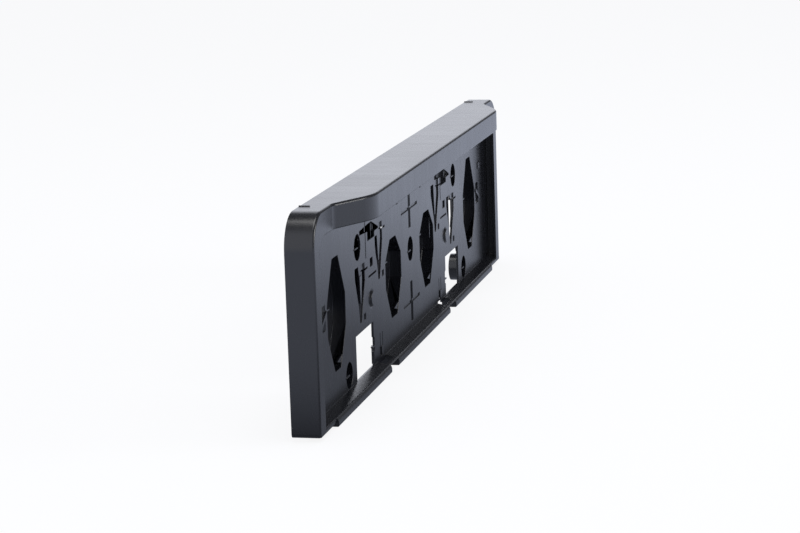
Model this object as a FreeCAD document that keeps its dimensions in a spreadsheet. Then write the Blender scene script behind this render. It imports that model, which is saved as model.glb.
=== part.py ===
"""Number plate holder for a car bumper: one moulded tray with a hood along its upper edge.

The body is drawn in millimetres with its back mounting edge on the plane Y = 0, its front
towards -Y, +Z up and X = 0 on its middle. Depths are counted from the back edge forwards.
"""
import FreeCAD
import Part
import Sketcher
import math
import os

from FreeCAD import Placement, Rotation, Vector

NODE = "plate_holder"

SIZES = (
    # The plate that is held, and the room round it
    ("plate_width", 520.0, "width of the number plate"),
    ("plate_height", 110.0, "height of the number plate"),
    ("side_room", 2.8, "gap between the plate's end and the side wall"),
    ("top_room", 5.6, "gap between the plate's upper edge and the top wall"),
    ("plate_gap", 5.6, "depth of the room for the plate, behind the lips"),
    # Walls
    ("wall", 2.2, "thickness of the outer wall"),
    ("lip", 2.0, "thickness of the lips and of the hood's front"),
    ("panel", 1.5, "thickness of the back panel"),
    ("stand_off", 7.6, "distance from the bumper to the panel's back"),
    ("side_lip", 11.5, "width of the side lips, seen from the front"),
    ("top_lip", 14.4, "height of the top lip and of the hood's front"),
    ("outer_round", 20.0, "radius of the upper outer corners"),
    ("opening_round", 13.0, "radius of the upper corners of the front opening"),
    ("heel_round", 2.5, "radius of the lower outer corners"),
    ("front_round", 1.6, "radius along the outer front edge"),
    # Hood
    ("hood_reach", 16.0, "how far the hood stands out in front of the lips"),
    ("shoulder", 43.0, "length of the flat lip beside the hood"),
    ("ramp_run", 33.0, "length of the slope from the lip to the hood's front"),
    ("ramp_foot_round", 12.0, "radius where the slope starts"),
    ("ramp_head_round", 42.0, "radius where the slope meets the hood's front"),
    # Foot
    ("ledge_height", 6.6, "height of the ledge where it meets the panel"),
    ("ledge_front", 5.0, "height of the ledge at the lips"),
    ("ledge_round", 1.2, "radius of the ledge's front edge beside the foot"),
    ("foot_end", 35.0, "length at each end that stays clear of the ground"),
    ("foot_lift", 2.0, "clearance under those ends"),
    ("foot_reach", 1.2, "how far the foot stands out in front of the lips"),
    ("foot_round", 2.6, "radius of the foot's upper front edge"),
    ("toe_round", 0.8, "radius of the foot's lower front edge"),
    ("notch_near", 78.0, "from the middle to the notch in the foot"),
    ("notch_width", 20.0, "width of the notch and of the slot in the ledge above it"),
    ("notch_height", 4.4, "height of the notch"),
    ("drain_depth", 5.0, "depth of the slot in the ledge, from the panel forwards"),
    ("core_wall", 1.8, "wall left round the hollows under the foot"),
    ("core_height", 2.6, "height of the hollows under the foot"),
    # Octagonal cups
    ("cup_wall", 1.6, "wall of the cups"),
    ("cup_floor", 1.2, "floor of the cups"),
    ("outer_cup_inset", 72.0, "from the holder's end to the outer cup's centre"),
    ("outer_cup_width", 41.5, "width of the outer cup"),
    ("outer_cup_flat", 13.5, "width of the outer cup's upper and lower sides"),
    ("outer_cup_low", 24.0, "height of the outer cup's lower side"),
    ("outer_cup_high", 89.0, "height of the outer cup's upper side"),
    ("outer_cup_side_low", 46.5, "where the outer cup's upright sides start"),
    ("outer_cup_side_high", 65.0, "where the outer cup's upright sides end"),
    ("inner_cup_place", 49.0, "from the middle to the inner cup's centre"),
    ("inner_cup_width", 43.0, "width of the inner cup"),
    ("inner_cup_flat", 16.0, "width of the inner cup's upper and lower sides"),
    ("inner_cup_low", 25.0, "height of the inner cup's lower side"),
    ("inner_cup_high", 74.5, "height of the inner cup's upper side"),
    ("inner_cup_side_low", 46.0, "where the inner cup's upright sides start"),
    ("inner_cup_side_high", 62.0, "where the inner cup's upright sides end"),
    ("cup_tab_height", 61.4, "height at which a tab stands into each cup"),
    ("cup_tab_length", 7.5, "length of that tab"),
    ("cup_web_low", 2.0, "from the cup's lower side to the web in its lower corner"),
    ("cup_web_length", 12.0, "length of that web"),
    ("cup_web_width", 4.5, "width of that web where it joins the cup's wall"),
    ("web_sink", 0.5, "depth of the tabs and webs under the panel's front"),
    # Screw cups
    ("screw_cup", 15.6, "bore of the screw cups"),
    ("screw_floor", 1.6, "floor of the screw cups"),
    ("screw_hole", 5.5, "hole for the screw"),
    ("upper_screw_place", 139.7, "from the middle to the upper screws"),
    ("upper_screw_height", 84.8, "height of the upper screws"),
    ("lower_screw_place", 168.2, "from the middle to the lower screws"),
    ("lower_screw_height", 14.6, "height of the lower screws"),
    ("middle_screw_height", 58.6, "height of the middle screw"),
    # Windows
    ("window_near", 106.5, "from the middle to the window"),
    ("window_width", 43.5, "width of the window"),
    ("window_top", 33.3, "height of the window's upper edge"),
    ("window_nub", 3.0, "length of the nub at the window's inner edge"),
    ("window_nub_height", 18.0, "height at which that nub stands"),
    ("window_relief", 2.0, "depth of the relief in the inner edge round the nub"),
    ("window_relief_height", 9.0, "height of that relief"),
    # Spring cells
    ("low_cell_place", 131.5, "from the middle to the low cell"),
    ("high_cell_place", 82.5, "from the middle to the high cell"),
    ("cell_tip_shift", 4.75, "how far a cell's point lies to one side of that place"),
    ("low_cell_point", 39.0, "height of the low cell's point"),
    ("high_cell_point", 56.0, "height of the high cell's point"),
    ("cell_height", 34.0, "height of a cell"),
    ("high_cell_height", 32.5, "height of the high cell beside the arched slot"),
    ("short_cell_height", 27.5, "height of the high cell under the arched slot"),
    ("cell_left", 11.5, "width of a cell at one side of its point"),
    ("cell_right", 12.8, "width of a cell at the other side of its point"),
    ("short_cell_trim", 2.0, "how much narrower the cell under the arched slot is at each side"),
    ("cell_stem", 4.0, "width of the slot at the cell's point"),
    ("cell_slot", 8.5, "width of the slot beside the tongue"),
    ("tongue_width", 8.5, "width of the tongue where it joins the panel"),
    ("tongue_drop", 22.5, "length of the tongue"),
    ("tongue_slope", 1.3, "how far the low cell's tongue falls back across its width"),
    ("tongue_set", 6.0, "height of the flat recess above the tongue"),
    ("cell_step", 4.0, "how much lower the slot at the other side of the tongue starts"),
    ("cell_knee", 10.0, "height over the point at which the slots start to part"),
    ("hook_slot", 8.5, "length of the thin slot beside the cell"),
    ("thin", 1.0, "width of the thin slots"),
    ("blind_place", 7.5, "from a cell's point to the blind notch beside it"),
    ("blind_width", 5.0, "width of the blind notch"),
    ("blind_height", 3.5, "height of the blind notch"),
    ("recess", 0.8, "depth of the recesses and blind slots in the panel's front"),
    # Arched slots, blocks, squares and marks between the cells
    ("arch_place", 106.0, "from the middle to the arched slot"),
    ("arch_top", 94.2, "height of the arched slot's upper edge"),
    ("arch_core", 18.0, "width of the arched slot's deep middle"),
    ("arch_drop", 10.0, "height of that middle"),
    ("arch_tail", 18.5, "length of the level tail at one side"),
    ("arch_tail_width", 2.4, "width of that tail"),
    ("arch_hook", 11.0, "length of the falling tail at the other side"),
    ("block_near", 96.0, "from the middle to the raised block round the arched slot"),
    ("block_width", 23.5, "width of the raised block"),
    ("block_low", 74.5, "height of the block's lower edge"),
    ("block_high", 96.5, "height of the block's upper edge"),
    ("square_place", 106.3, "from the middle to the square hole"),
    ("square_width", 7.0, "width of the square hole"),
    ("square_low", 67.5, "height of the square hole's lower edge"),
    ("square_height", 5.0, "height of the square hole"),
    ("slit_length", 20.0, "length of the thin slit under it"),
    ("slit_height", 62.2, "height of that slit"),
    ("dimple_place", 108.5, "from the middle to the round dimple"),
    ("dimple_height", 48.0, "height of the dimple"),
    ("dimple_width", 12.5, "width of the dimple at the panel's front"),
    ("dimple_floor", 8.0, "width of the dimple's floor"),
    ("dimple_depth", 1.1, "depth of the dimple"),
    # Cross slots on the middle line
    ("cross_slot", 6.0, "width of the upright cross slots"),
    ("cross_arm", 47.0, "length of the level cross slots"),
    ("cross_arm_width", 1.8, "width of the level cross slots"),
    ("low_cross_centre", 24.5, "height of the lower cross"),
    ("low_cross_length", 26.0, "length of the lower upright slot"),
    ("high_cross_centre", 85.0, "height of the upper cross"),
    ("high_cross_length", 25.0, "length of the upper upright slot"),
    # Arms and catches
    ("rise", 0.8, "how far arms, tabs, blocks and catches stand out of the panel's front"),
    ("arm_inset", 48.0, "from the holder's end to the upper end of the slanted arm beside the outer cup"),
    ("arm_run", 14.0, "how far the arm goes outwards"),
    ("arm_fall", 7.5, "how far the arm falls over that run"),
    ("arm_height", 60.5, "height of the arm's upper end"),
    ("arm_width", 2.8, "width of the arm"),
    ("arm_slot_inset", 47.0, "from the holder's end to the slot that the arm crosses"),
    ("arm_slot_width", 9.5, "width of that slot"),
    ("arm_slot_under", 8.5, "from the arm's upper end down to that slot's lower edge"),
    ("arm_slot_over", 6.0, "from the arm's upper end up to that slot's upper edge"),
    ("catch_place", 87.0, "from the middle to the plate catch"),
    ("catch_width", 5.0, "width of the plate catch"),
    ("catch_low", 9.2, "height of the catch's nose"),
    ("catch_high", 22.5, "height where the catch joins the panel"),
    ("catch_nose", 5.0, "height of the raised nose at the catch's end"),
    # Small tabs, slots and fins
    ("tab_inset", 35.0, "from the holder's end to the small tab"),
    ("tab_width", 6.5, "width of the small tab"),
    ("tab_low", 76.0, "height of the small tab's lower edge"),
    ("tab_height", 5.0, "height of the small tab"),
    ("pip_place", 34.0, "from the middle to the tiny slots"),
    ("pip_height", 93.7, "height of the tiny slots"),
    ("pip_length", 4.0, "length of the tiny slots"),
    ("fin_inset", 33.5, "from the holder's end to the fins on the top wall"),
    ("fin_length", 6.3, "length of the fins"),
    ("fin_height", 0.6, "height of the fins"),
    # Ribs on the back
    ("rib", 1.2, "thickness of the ribs"),
    ("rib_height", 3.5, "how far the ribs stand out of the panel's back"),
    ("rib_gap", 1.0, "distance from a slot to the rib beside it"),
)

# Overlap that lets two features run into each other
BITE = 0.5

# Places nearer to each other than this, in millimetres, count as one
TOUCH = 1e-4


class Size:
    """A length that knows its value and the sheet formula that gives it."""

    def __init__(self, value, formula):
        self.value = float(value)
        self.formula = formula

    @staticmethod
    def of(other):
        if isinstance(other, Size):
            return other
        return Size(other, f"({float(other)})")

    def join(self, other, sign, value):
        return Size(value, f"({self.formula} {sign} {other.formula})")

    def __add__(self, other):
        other = Size.of(other)
        return self.join(other, "+", self.value + other.value)

    def __sub__(self, other):
        other = Size.of(other)
        return self.join(other, "-", self.value - other.value)

    def __mul__(self, other):
        other = Size.of(other)
        return self.join(other, "*", self.value * other.value)

    def __truediv__(self, other):
        other = Size.of(other)
        return self.join(other, "/", self.value / other.value)

    def __neg__(self):
        return self * -1

    def root(self):
        return Size(math.sqrt(self.value), f"sqrt({self.formula})")

    __radd__ = __add__
    __rmul__ = __mul__


class Corner:
    """A corner of an outline: its place across and up, and its radius where it is rounded."""

    def __init__(self, across, up, radius=None):
        self.across = Size.of(across)
        self.up = Size.of(up)
        self.radius = None if radius is None else Size.of(radius)

    def point(self):
        return Vector(self.across.value, self.up.value, 0)


class Sheet:
    """The sheet of driving sizes, read by name."""

    def __init__(self, document):
        self.table = document.addObject("Spreadsheet::Sheet", "Sizes")
        self.sizes = {}
        for row, (name, value, meaning) in enumerate(SIZES, start=1):
            self.table.set(f"A{row}", name)
            self.table.set(f"B{row}", str(value))
            self.table.set(f"C{row}", meaning)
            self.table.setAlias(f"B{row}", name)
            self.sizes[name] = Size(value, f"Sizes.{name}")

    def __getattr__(self, name):
        return self.sizes[name]


def origin_plane(body, role):
    """The body's own origin plane with that role."""
    return next(plane for plane in body.Origin.OriginFeatures if plane.Role == role)


def new_sketch(body, name, role, offset=None):
    """A sketch on one of the body's planes, moved along the plane's normal by the offset."""
    sketch = body.newObject("Sketcher::SketchObject", name)
    sketch.AttachmentSupport = [(origin_plane(body, role), "")]
    sketch.MapMode = "FlatFace"
    if offset is not None:
        offset = Size.of(offset)
        sketch.AttachmentOffset = Placement(Vector(0, 0, offset.value), Rotation())
        sketch.setExpression("AttachmentOffset.Base.z", offset.formula)
    return sketch


class Ties:
    """Constraints of a sketch, added together and then bound to their formulas."""

    def __init__(self, sketch):
        self.sketch = sketch
        self.constraints = []
        self.formulas = []

    def add(self, *constraint, size=None):
        if size is not None:
            constraint += (size.value,)
        self.constraints.append(Sketcher.Constraint(*constraint))
        self.formulas.append(None if size is None else size.formula)

    def pin(self, shape, vertex, across, up):
        """Fix a point of the sketch at a place that follows the sheet."""
        self.add("DistanceX", -1, 1, shape, vertex, size=across)
        self.add("DistanceY", -1, 1, shape, vertex, size=up)

    def apply(self):
        first = self.sketch.ConstraintCount
        self.sketch.addConstraint(self.constraints)
        for index, formula in enumerate(self.formulas, start=first):
            if formula is not None:
                self.sketch.setExpression(f"Constraints[{index}]", formula)


def corner_arc(before, corner, after):
    """Tangent arc of a rounded corner: centre, the two touching points and the turning sense."""
    here = corner.point()
    back = (before.point() - here).normalize()
    onward = (after.point() - here).normalize()
    half_angle = back.getAngle(onward) / 2
    reach = corner.radius.value / math.tan(half_angle)
    middle = (back + onward).normalize()
    centre = here + middle * (corner.radius.value / math.sin(half_angle))
    turns_left = (here - before.point()).cross(after.point() - here).z > 0
    return centre, here + back * reach, here + onward * reach, turns_left


def add_arc(sketch, centre, start, end, radius):
    """An arc that runs anticlockwise from start to end."""
    first = math.atan2(start.y - centre.y, start.x - centre.x)
    last = math.atan2(end.y - centre.y, end.x - centre.x)
    circle = Part.Circle(centre, Vector(0, 0, 1), radius)
    return sketch.addGeometry(Part.ArcOfCircle(circle, first, last), False)


def draw_outline(sketch, corners):
    """A closed outline through the corners, with a tangent arc at each rounded one."""
    count = len(corners)
    arcs = {}
    for index, corner in enumerate(corners):
        if corner.radius is not None:
            arcs[index] = corner_arc(corners[index - 1], corner, corners[(index + 1) % count])
    ties = Ties(sketch)
    lines = []
    for index, corner in enumerate(corners):
        following = (index + 1) % count
        start = arcs[index][2] if index in arcs else corner.point()
        end = arcs[following][1] if following in arcs else corners[following].point()
        lines.append(sketch.addGeometry(Part.LineSegment(start, end), False))
    for index, corner in enumerate(corners):
        before, after = lines[index - 1], lines[index]
        if index not in arcs:
            ties.pin(after, 1, corner.across, corner.up)
            ties.add("Coincident", before, 2, after, 1)
            continue
        spot = sketch.addGeometry(Part.Point(corner.point()), True)
        ties.pin(spot, 1, corner.across, corner.up)
        centre, touch_in, touch_out, turns_left = arcs[index]
        ends = (touch_in, touch_out) if turns_left else (touch_out, touch_in)
        arc = add_arc(sketch, centre, *ends, corner.radius.value)
        first, last = (1, 2) if turns_left else (2, 1)
        ties.add("PointOnObject", spot, 1, before)
        ties.add("PointOnObject", spot, 1, after)
        ties.add("Tangent", before, 2, arc, first)
        ties.add("Tangent", arc, last, after, 1)
        ties.add("Radius", arc, size=corner.radius)
    ties.apply()


def draw_rectangle(sketch, first, last, low, high):
    """A rectangle between two places across, in either order, and two up."""
    draw_outline(sketch, [Corner(first, low), Corner(last, low), Corner(last, high), Corner(first, high)])


def draw_circle(sketch, across, up, width):
    """A circle by its centre and its width."""
    across, up, width = Size.of(across), Size.of(up), Size.of(width)
    circle = Part.Circle(Vector(across.value, up.value, 0), Vector(0, 0, 1), width.value / 2)
    ring = sketch.addGeometry(circle, False)
    ties = Ties(sketch)
    ties.pin(ring, 3, across, up)
    ties.add("Diameter", ring, size=width)
    ties.apply()


def add_feature(body, kind, name, sketch, length, reverse=False, both_ways=False):
    """A pad or pocket of a sketch, checked to have changed the body's volume."""
    document = body.Document
    before = body.Shape.Volume if body.Tip else 0.0
    feature = body.newObject(f"PartDesign::{kind}", name)
    feature.Profile = sketch
    feature.Reversed = reverse
    if both_ways:
        feature.SideType = "Symmetric"
    length = Size.of(length)
    feature.Length = length.value
    feature.setExpression("Length", length.formula)
    document.recompute()
    change = feature.Shape.Volume - before
    if (kind == "Pad") != (change > 0):
        raise RuntimeError(f"{name} changed the volume by {change:.3f} cubic mm")
    return feature


def pad(body, name, sketch, length, **options):
    return add_feature(body, "Pad", name, sketch, length, **options)


def pocket(body, name, sketch, length, **options):
    return add_feature(body, "Pocket", name, sketch, length, **options)


def mirrored_places(place):
    """The same place at both sides of the middle."""
    return (-place, place)


class SpringCell:
    """Places that a cell's slots, tongue and ribs share, all of one hand round its point."""

    def __init__(self, sheet, tip, point, height, trim):
        self.tip = tip
        self.point = point
        self.top = point + height
        self.left = tip - sheet.cell_left + trim
        self.right = tip + sheet.cell_right - trim
        self.tongue_left = tip - sheet.cell_left + sheet.cell_slot
        self.tongue_right = self.tongue_left + sheet.tongue_width
        self.tongue_end = point + sheet.cell_height - sheet.tongue_drop
        self.step = point + sheet.cell_height - sheet.cell_step
        self.knee = point + sheet.cell_knee


class HolderBuilder:
    """Builds the tray and everything cut out of its panel, one group of features after another."""

    def __init__(self, document):
        self.document = document
        self.sheet = Sheet(document)
        self.body = document.addObject("PartDesign::Body", "TrayBody")
        self.cuts = document.addObject("PartDesign::Body", "PanelCuts")
        document.recompute()
        s = self.sheet
        self.half = s.plate_width / 2 + s.side_room + s.wall
        self.top = s.ledge_height + s.plate_height + s.top_room + s.wall
        self.panel_front = s.stand_off + s.panel
        self.depth = self.panel_front + s.plate_gap + s.lip
        self.foot_half = self.half - s.foot_end

    def tray(self):
        """The block with its rounded corners, and the hood that stands out of it."""
        s = self.sheet
        outline = new_sketch(self.body, "TrayOutline", "XZ_Plane")
        draw_outline(outline, [
            Corner(-self.foot_half, 0),
            Corner(self.foot_half, 0),
            Corner(self.foot_half, s.foot_lift),
            Corner(self.half, s.foot_lift, s.heel_round),
            Corner(self.half, self.top, s.outer_round),
            Corner(-self.half, self.top, s.outer_round),
            Corner(-self.half, s.foot_lift, s.heel_round),
            Corner(-self.foot_half, s.foot_lift),
        ])
        pad(self.body, "Tray", outline, self.depth)
        plan = new_sketch(self.body, "HoodPlan", "XY_Plane", self.top)
        draw_outline(plan, self.hood_corners(Size.of(0)))
        pad(self.body, "Hood", plan, s.top_lip, reverse=True)

    def hood_corners(self, inset):
        """The hood from above, drawn in by the inset, with its back inside the lip."""
        s = self.sheet
        slope = s.hood_reach / s.ramp_run
        slide = inset * ((slope * slope + 1).root() - 1) / slope
        foot_x = self.half - s.shoulder - slide
        head_x = foot_x - s.ramp_run
        end_x = foot_x + s.ramp_foot_round
        foot_y = inset - self.depth
        head_y = foot_y - s.hood_reach
        back_y = foot_y + s.lip / 2
        foot_round = s.ramp_foot_round + inset
        head_round = s.ramp_head_round - inset
        return [
            Corner(end_x, foot_y),
            Corner(end_x, back_y),
            Corner(-end_x, back_y),
            Corner(-end_x, foot_y),
            Corner(-foot_x, foot_y, foot_round),
            Corner(-head_x, head_y, head_round),
            Corner(head_x, head_y, head_round),
            Corner(foot_x, foot_y, foot_round),
        ]

    def round_front(self):
        """One radius along the outer front edge, from heel to heel over the hood."""
        s = self.sheet
        solid = self.body.Tip
        reach = self.depth.value
        inner_x = self.half.value - s.shoulder.value + s.ramp_foot_round.value
        names = []
        for index, edge in enumerate(solid.Shape.Edges, start=1):
            box = edge.BoundBox
            on_top = box.ZMin > self.top.value - TOUCH and box.YMax < -reach + TOUCH
            on_end = abs(box.YMin + reach) < TOUCH and abs(box.YMax + reach) < TOUCH
            outside = max(abs(box.XMin), abs(box.XMax)) > inner_x
            lifted = box.ZMax > s.foot_lift.value + TOUCH
            beyond = box.XLength < TOUCH and abs(abs(box.XMin) - self.half.value) > TOUCH
            if on_top or (on_end and outside and lifted and not beyond):
                names.append(f"Edge{index}")
        rounding = self.body.newObject("PartDesign::Fillet", "FrontRound")
        rounding.Base = (solid, names)
        rounding.Radius = s.front_round.value
        rounding.setExpression("Radius", s.front_round.formula)
        self.body.Document.recompute()

    def hollows(self):
        """The open back, the room for the plate, the front opening and the space in the hood."""
        s = self.sheet
        inner = self.half - s.wall
        ceiling = self.top - s.wall
        back = new_sketch(self.body, "BackOutline", "XZ_Plane")
        draw_outline(back, [
            Corner(-inner, -s.foot_lift),
            Corner(inner, -s.foot_lift),
            Corner(inner, ceiling, s.outer_round - s.wall),
            Corner(-inner, ceiling, s.outer_round - s.wall),
        ])
        pocket(self.body, "OpenBack", back, s.stand_off, reverse=True)
        room = new_sketch(self.body, "RoomOutline", "XZ_Plane", self.depth - s.lip)
        draw_outline(room, [
            Corner(-inner, s.ledge_front),
            Corner(inner, s.ledge_front),
            Corner(inner, ceiling, s.outer_round - s.wall),
            Corner(-inner, ceiling, s.outer_round - s.wall),
        ])
        pocket(self.body, "PlateRoom", room, s.plate_gap)
        opening = new_sketch(self.body, "OpeningOutline", "XZ_Plane", self.depth)
        side = self.half - s.side_lip
        low = s.foot_lift + s.ledge_round
        draw_outline(opening, [
            Corner(-side, low),
            Corner(-self.foot_half, low),
            Corner(-self.foot_half, s.toe_round),
            Corner(self.foot_half, s.toe_round),
            Corner(self.foot_half, low),
            Corner(side, low),
            Corner(side, self.top - s.top_lip, s.opening_round),
            Corner(-side, self.top - s.top_lip, s.opening_round),
        ])
        pocket(self.body, "FrontOpening", opening, s.lip + BITE)
        hood = new_sketch(self.body, "HoodHollowPlan", "XY_Plane", ceiling)
        draw_outline(hood, self.hood_corners(s.lip))
        pocket(self.body, "HoodHollow", hood, s.top_lip - s.wall + BITE)

    def foot(self):
        """The sloping ledge under the plate, the foot in front of it and its hollows."""
        s = self.sheet
        start = -(self.panel_front - BITE)
        slope = (s.ledge_height - s.ledge_front) / (s.plate_gap + s.lip)
        start_height = s.ledge_height + slope * BITE
        front = -(self.depth + s.foot_reach)
        front_height = s.ledge_front - slope * s.foot_reach
        profile = new_sketch(self.body, "FootProfile", "YZ_Plane")
        draw_outline(profile, [
            Corner(start, 0),
            Corner(start, start_height),
            Corner(front, front_height, s.foot_round),
            Corner(front, 0, s.toe_round),
        ])
        pad(self.body, "Foot", profile, self.foot_half * 2, both_ways=True)
        for name, side in (("Left", -1), ("Right", 1)):
            ledge = new_sketch(self.body, f"{name}LedgeProfile", "YZ_Plane", self.foot_half * side)
            draw_outline(ledge, [
                Corner(start, s.foot_lift + BITE),
                Corner(start, start_height),
                Corner(-self.depth, s.ledge_front, s.ledge_round),
                Corner(-self.depth, s.foot_lift + BITE),
            ])
            pad(self.body, f"{name}Ledge", ledge, s.foot_end - s.wall / 2, reverse=side < 0)
        self.notches()
        self.foot_cores()

    def notches(self):
        """Notches cut from below in the foot, each with a slot in the ledge over it."""
        s = self.sheet
        front = -(self.depth + s.foot_reach + BITE)
        notch = new_sketch(self.body, "NotchPlan", "XY_Plane")
        drain = new_sketch(self.body, "DrainPlan", "XY_Plane", s.notch_height)
        for side in (-1, 1):
            near = s.notch_near * side
            far = near + s.notch_width * side
            draw_rectangle(notch, near, far, front, -s.stand_off + BITE)
            draw_rectangle(drain, near, far, -(self.panel_front + s.drain_depth), -self.panel_front)
        pocket(self.body, "Notches", notch, s.notch_height, reverse=True)
        pocket(self.body, "Drains", drain, s.ledge_height, reverse=True)

    def foot_cores(self):
        """Hollows under the foot, with a web between each two."""
        s = self.sheet
        cores = new_sketch(self.body, "CorePlan", "XY_Plane")
        back = -(s.stand_off + s.core_wall)
        front = -(self.depth + s.foot_reach - s.core_wall)
        notch_far = s.notch_near + s.notch_width
        for side in (-1, 1):
            bays = ((s.core_wall / 2, s.notch_near - s.core_wall, 2),
                    (notch_far + s.core_wall, self.foot_half - s.core_wall, 3))
            for low, high, count in bays:
                pitch = (high - low + s.core_wall) / count
                for step in range(count):
                    near = low + pitch * step
                    far = near + pitch - s.core_wall
                    draw_rectangle(cores, near * side, far * side, front, back)
        pocket(self.body, "FootCores", cores, s.core_height, reverse=True)

    def cup_place(self, kind):
        """From the middle to an octagonal cup's centre: the outer ones keep their distance from the ends."""
        s = self.sheet
        return self.half - s.outer_cup_inset if kind == "outer" else s.inner_cup_place

    def cup_corners(self, kind, side, wall):
        """An octagonal cup's outline, let out by the wall."""
        s = self.sheet
        centre = self.cup_place(kind) * side
        half = getattr(s, f"{kind}_cup_width") / 2 + wall
        flat = getattr(s, f"{kind}_cup_flat") / 2 + wall / 2
        low = getattr(s, f"{kind}_cup_low") - wall
        high = getattr(s, f"{kind}_cup_high") + wall
        side_low = getattr(s, f"{kind}_cup_side_low") - wall / 2
        side_high = getattr(s, f"{kind}_cup_side_high") + wall / 2
        return [
            Corner(centre - flat, low), Corner(centre + flat, low),
            Corner(centre + half, side_low), Corner(centre + half, side_high),
            Corner(centre + flat, high), Corner(centre - flat, high),
            Corner(centre - half, side_high), Corner(centre - half, side_low),
        ]

    def screw_places(self):
        """Centres of the screw cups."""
        s = self.sheet
        places = [(Size.of(0), s.middle_screw_height)]
        for across in mirrored_places(s.upper_screw_place):
            places.append((across, s.upper_screw_height))
        for across in mirrored_places(s.lower_screw_place):
            places.append((across, s.lower_screw_height))
        return places

    def cups(self):
        """Octagonal spacer cups and round screw cups that reach back to the bumper."""
        s = self.sheet
        walls = new_sketch(self.body, "CupWalls", "XZ_Plane", s.stand_off + BITE)
        rooms = new_sketch(self.body, "CupRooms", "XZ_Plane", self.panel_front)
        for kind in ("outer", "inner"):
            for side in (-1, 1):
                draw_outline(walls, self.cup_corners(kind, side, s.cup_wall))
                draw_outline(rooms, self.cup_corners(kind, side, Size.of(0)))
        pad(self.body, "CupBodies", walls, s.stand_off + BITE, reverse=True)
        pocket(self.body, "CupHollows", rooms, self.panel_front - s.cup_floor)
        tubes = new_sketch(self.body, "ScrewTubes", "XZ_Plane", s.stand_off + BITE)
        bores = new_sketch(self.body, "ScrewBores", "XZ_Plane", self.panel_front)
        holes = new_sketch(self.body, "ScrewHoles", "XZ_Plane", s.screw_floor + BITE)
        for across, up in self.screw_places():
            draw_circle(tubes, across, up, s.screw_cup + s.cup_wall * 2)
            draw_circle(bores, across, up, s.screw_cup)
            draw_circle(holes, across, up, s.screw_hole)
        pad(self.body, "ScrewCups", tubes, s.stand_off + BITE, reverse=True)
        pocket(self.body, "ScrewRooms", bores, self.panel_front - s.screw_floor)
        pocket(self.body, "ScrewPasses", holes, s.screw_floor + BITE * 2)
        webs = new_sketch(self.body, "CupWebOutline", "XZ_Plane", self.panel_front - s.web_sink)
        for kind in ("outer", "inner"):
            for side in (-1, 1):
                self.draw_cup_web(webs, kind, side)
        pad(self.body, "CupWebs", webs, s.cup_wall, reverse=True)

    def draw_cup_web(self, sketch, kind, side):
        """A level tab on a cup's left wall, and a web that tapers into its lower right corner."""
        s = self.sheet
        centre = self.cup_place(kind) * side
        half = getattr(s, f"{kind}_cup_width") / 2
        flat = getattr(s, f"{kind}_cup_flat") / 2
        low = getattr(s, f"{kind}_cup_low")
        lean = (half - flat) / (getattr(s, f"{kind}_cup_side_low") - low)
        tab_start = centre - half - s.cup_wall / 2
        draw_rectangle(sketch, tab_start, tab_start + s.cup_tab_length + s.cup_wall / 2,
                       s.cup_tab_height, s.cup_tab_height + s.thin)
        foot_x = centre + flat + s.cup_wall / 2
        web_high = s.cup_web_low + s.cup_web_width
        draw_outline(sketch, [
            Corner(foot_x + lean * s.cup_web_low, low + s.cup_web_low),
            Corner(foot_x + lean * web_high, low + web_high),
            Corner(foot_x + lean * web_high - s.cup_web_length, low + s.cup_web_low + s.cup_web_width / 2),
        ])

    def through_panel(self, name, draw):
        """What a method draws, from the front of the raised forms to the panel's back."""
        s = self.sheet
        sketch = new_sketch(self.cuts, f"{name}Outline", "XZ_Plane", self.panel_front + s.rise)
        draw(sketch)
        pad(self.cuts, name, sketch, s.panel + s.rise, reverse=True)

    def draw_windows(self, sketch):
        """Windows on the ledge, each with a relief and a nub in its inner edge."""
        s = self.sheet
        nub_low = s.window_nub_height - s.thin / 2
        nub_high = s.window_nub_height + s.thin / 2
        relief_low = s.window_nub_height - s.window_relief_height / 3
        relief_high = relief_low + s.window_relief_height
        for side in (-1, 1):
            near = s.window_near * side
            far = near + s.window_width * side
            deep = near - s.window_relief * side
            tip = near + s.window_nub * side
            draw_outline(sketch, [
                Corner(near, s.ledge_height),
                Corner(far, s.ledge_height),
                Corner(far, s.window_top),
                Corner(near, s.window_top),
                Corner(near, relief_high),
                Corner(deep, relief_high - s.thin),
                Corner(deep, nub_high),
                Corner(tip, nub_high),
                Corner(tip, nub_low),
                Corner(deep, nub_low),
                Corner(deep, relief_low),
                Corner(near, relief_low),
            ])

    def cells(self):
        """The four spring cells, from left to right."""
        s = self.sheet
        shift = s.cell_tip_shift
        full = Size.of(0)
        layout = (
            (-s.low_cell_place - shift, s.low_cell_point, s.cell_height, full),
            (-s.high_cell_place - shift, s.high_cell_point, s.short_cell_height, s.short_cell_trim),
            (s.high_cell_place - shift, s.high_cell_point, s.high_cell_height, full),
            (s.low_cell_place - shift, s.low_cell_point, s.cell_height, full),
        )
        return [SpringCell(s, *places) for places in layout]

    def draw_cells(self, sketch):
        """Spring cells: two slots that meet at a point, round a tongue that hangs between them."""
        s = self.sheet
        for cell in self.cells():
            draw_outline(sketch, [
                Corner(cell.tip - s.cell_stem / 2, cell.point),
                Corner(cell.tip + s.cell_stem / 2, cell.point),
                Corner(cell.tip + s.cell_stem + s.thin * 2, cell.knee),
                Corner(cell.right, cell.step - s.tongue_set - s.thin),
                Corner(cell.right, cell.step),
                Corner(cell.tongue_right, cell.step),
                Corner(cell.tongue_right, cell.step - s.tongue_set + s.thin),
                Corner(cell.tip + s.thin / 2, cell.tongue_end),
                Corner(cell.tip - s.thin, cell.tongue_end),
                Corner(cell.tongue_left, cell.top),
                Corner(cell.left, cell.top),
                Corner(cell.left, cell.top - s.tongue_set),
                Corner(cell.tip - s.cell_stem, cell.knee),
            ])

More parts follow.
